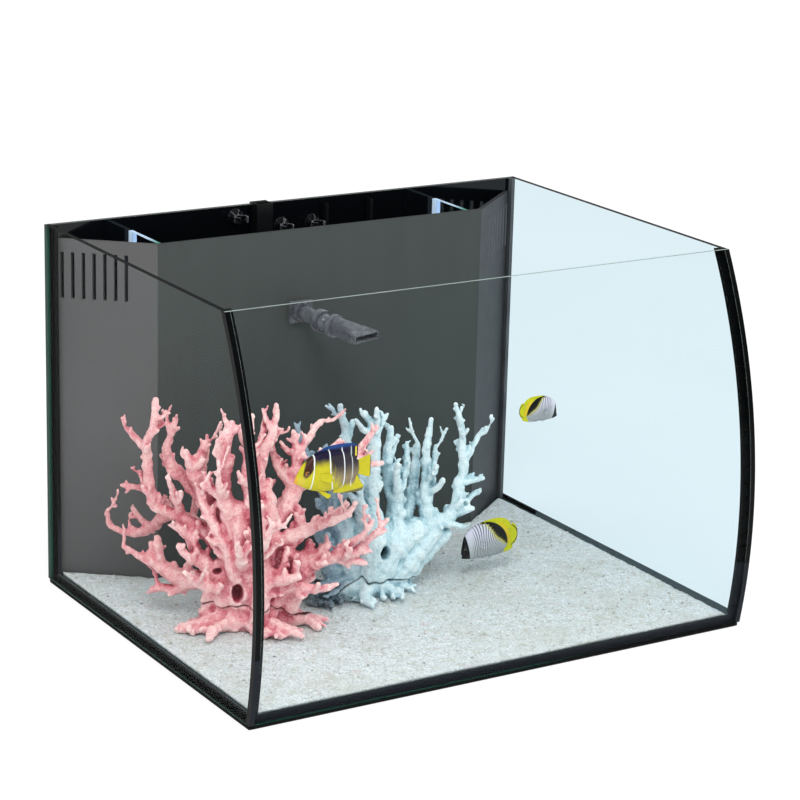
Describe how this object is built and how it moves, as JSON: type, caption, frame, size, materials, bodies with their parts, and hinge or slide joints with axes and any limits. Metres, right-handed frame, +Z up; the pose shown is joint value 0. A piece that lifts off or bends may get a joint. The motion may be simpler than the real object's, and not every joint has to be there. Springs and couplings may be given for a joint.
{
  "type": "aquarium",
  "caption": "Rimless glass aquarium with a bowed front, a filter chamber with pump behind a dark divider, a swivel return nozzle, sand, branching corals and fish.",
  "frame": {"origin": "centre of the outer box at the underside of the foam mat", "axes": "+X to the viewer's right across the width, -Y towards the bowed front, +Z up"},
  "size_m": [0.6, 0.478, 0.407],
  "materials": {
    "glass": "clear, polished, green at the edges",
    "black_glass": "black, high gloss",
    "silicone": "black, smooth, slight gloss",
    "foam": "black closed-cell foam, matte",
    "dark_acrylic": "dark grey acrylic, satin",
    "grey_acrylic": "dark grey acrylic, satin",
    "clear_acrylic": "clear acrylic, polished, pale blue edges",
    "black_plastic": "moulded, fine texture",
    "grey_plastic": "moulded",
    "white_plastic": "moulded",
    "clear_plastic": "clear moulded plastic",
    "smoke_plastic": "translucent grey moulded plastic",
    "hose": "translucent vinyl",
    "motor_core": "laminated core and winding in epoxy",
    "ceramic": "unglazed ceramic, porous",
    "rubber": "moulded rubber",
    "steel": "bright spring steel",
    "sponge": "open-cell foam",
    "sand": "white coral sand with a few dark grains",
    "pink_resin": "cast resin, rough, lighter on high spots",
    "blue_resin": "cast resin, rough, lighter on high spots",
    "angelfish_skin": "yellow to dark blue with pale bars",
    "butterflyfish_skin": "pale grey with dark stripes and yellow fins"
  },
  "bodies": {
    "tank": {"levelling_mat": "foam", "base_glass": "glass", "left_glass": "glass", "right_glass": "glass", "front_glass": "glass", "back_glass": "black_glass", "base_seam": "silicone", "front_left_trim": "silicone", "front_right_trim": "silicone", "rear_left_trim": "silicone", "rear_right_trim": "silicone", "rear_divider": "dark_acrylic", "left_weir_panel": "grey_acrylic", "right_weir_panel": "grey_acrylic", "left_baffle": "clear_acrylic", "right_baffle": "clear_acrylic", "cable_channel": "black_plastic", "basket_rails": "black_plastic", "cable_clip": "clear_plastic", "left_heater_clip": "clear_plastic", "right_heater_clip": "clear_plastic", "pump_housing": "black_plastic", "pump_motor_core": "motor_core", "pump_volute": "black_plastic", "pump_o_ring": "rubber", "pump_intake_cap": "black_plastic", "impeller_shaft": "ceramic", "front_bush": "rubber", "rear_bush": "rubber", "pump_feet": "rubber", "pump_cable_gland": "rubber", "return_hose": "hose", "hose_clamps": "steel", "hose_elbow": "black_plastic", "bulkhead_nut": "black_plastic", "bulkhead_gasket": "rubber", "bulkhead_flange": "smoke_plastic", "sand_bed": "sand", "pink_coral_base": "pink_resin", "pink_coral": "pink_resin", "blue_coral_base": "blue_resin", "blue_coral": "blue_resin", "angelfish": "angelfish_skin", "butterflyfish_large": "butterflyfish_skin", "butterflyfish_small": "butterflyfish_skin"},
    "neck": {"nozzle_neck": "smoke_plastic"},
    "ball": {"nozzle_ball": "smoke_plastic"},
    "fan": {"nozzle_fan": "smoke_plastic"},
    "rotor": {"impeller": "white_plastic"},
    "dial": {"flow_dial": "grey_plastic"},
    "basket": {"media_basket": "black_plastic", "basket_handle": "white_plastic", "bio_block": "ceramic"},
    "left_sponge_body": {"left_sponge": "sponge"},
    "right_sponge_body": {"right_sponge": "sponge"}
  },
  "joints": [
    {"name": "neck_twist", "type": "hinge", "parent": "tank", "child": "neck", "pos_m": [-0.031, 0.148, 0.298], "axis": [0, -1, 0], "continuous": true},
    {"name": "ball_swing", "type": "hinge", "parent": "neck", "child": "ball", "pos_m": [-0.031, 0.108, 0.298], "axis": [0.2608, 0, 0.9654], "range_deg": [-37.5, 6.5]},
    {"name": "fan_twist", "type": "hinge", "parent": "ball", "child": "fan", "pos_m": [-0.031, 0.108, 0.298], "axis": [0.2582, -0.9636, -0.0698], "range_deg": [-90, 90]},
    {"name": "impeller_spin", "type": "hinge", "parent": "tank", "child": "rotor", "pos_m": [-0.019, 0.199, 0.041], "axis": [1, 0, 0], "continuous": true},
    {"name": "flow_dial_turn", "type": "hinge", "parent": "tank", "child": "dial", "pos_m": [-0.053, 0.199, 0.041], "axis": [1, 0, 0], "range_deg": [0, 70]},
    {"name": "basket_lift", "type": "slide", "parent": "tank", "child": "basket", "axis": [0, 0, 1], "range_m": [0, 0.4]},
    {"name": "left_sponge_lift", "type": "slide", "parent": "tank", "child": "left_sponge_body", "axis": [0, 0, 1], "range_m": [0, 0.4]},
    {"name": "right_sponge_lift", "type": "slide", "parent": "tank", "child": "right_sponge_body", "axis": [0, 0, 1], "range_m": [0, 0.4]}
  ]
}
